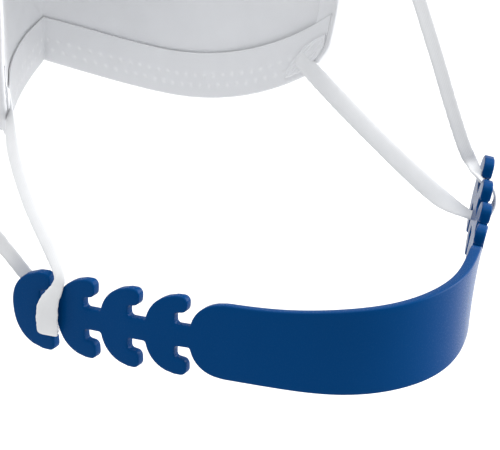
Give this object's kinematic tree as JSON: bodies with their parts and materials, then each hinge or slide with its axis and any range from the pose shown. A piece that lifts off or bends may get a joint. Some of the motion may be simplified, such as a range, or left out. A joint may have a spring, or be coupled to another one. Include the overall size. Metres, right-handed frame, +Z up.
{
  "type": "face mask with ear-saver strap",
  "caption": "Pleated face mask whose elastic ear loops hook onto a moulded ear-saver strap with crescent hook ladders, worn behind the head.",
  "frame": {"origin": "middle of the strap band's inner face, where it bears on the nape", "axes": "+X to the wearer's right, +Y forward to the mask, +Z up"},
  "size_m": [0.1291, 0.1885, 0.1278],
  "materials": {
    "strap_plastic": "satin moulded blue",
    "elastic": "knitted flat elastic",
    "mask_cloth": "nonwoven with dot welds",
    "filter_cloth": "melt-blown nonwoven",
    "wire": "plastic-coated wire"
  },
  "bodies": {
    "strap": {"strap_band": "strap_plastic", "left_ladder": "strap_plastic", "right_ladder": "strap_plastic"},
    "loops": {"left_ear_loop": "elastic", "right_ear_loop": "elastic"},
    "mask": {"mask_outer_ply": "mask_cloth", "mask_filter_ply": "filter_cloth", "mask_inner_ply": "mask_cloth", "top_hem": "mask_cloth", "nose_wire": "wire", "left_side_tape": "mask_cloth", "right_side_tape": "mask_cloth", "left_upper_weld": "mask_cloth", "right_upper_weld": "mask_cloth", "left_lower_weld": "mask_cloth", "right_lower_weld": "mask_cloth"},
    "chin": {"chin_outer_ply": "mask_cloth", "chin_filter_ply": "filter_cloth", "chin_inner_ply": "mask_cloth", "lower_hem": "mask_cloth"}
  },
  "joints": [
    {"name": "strap_tilt", "type": "hinge", "parent": "strap", "child": "loops", "pos_m": [0, 0.0546, 0], "axis": [1, 0, 0], "range_deg": [-12, 12], "stiffness_Nm_per_rad": 0.3, "deforming": ["left_ear_loop", "right_ear_loop"]},
    {"name": "loop_stretch", "type": "slide", "parent": "loops", "child": "mask", "axis": [0, 1, 0], "range_m": [-0.003, 0.03], "stiffness_N_per_m": 30, "deforming": ["left_ear_loop", "right_ear_loop"]},
    {"name": "pleat_opening", "type": "hinge", "parent": "mask", "child": "chin", "pos_m": [0, 0.104, 0.058], "axis": [1, 0, 0], "range_deg": [-8, 3], "stiffness_Nm_per_rad": 0.05}
  ]
}
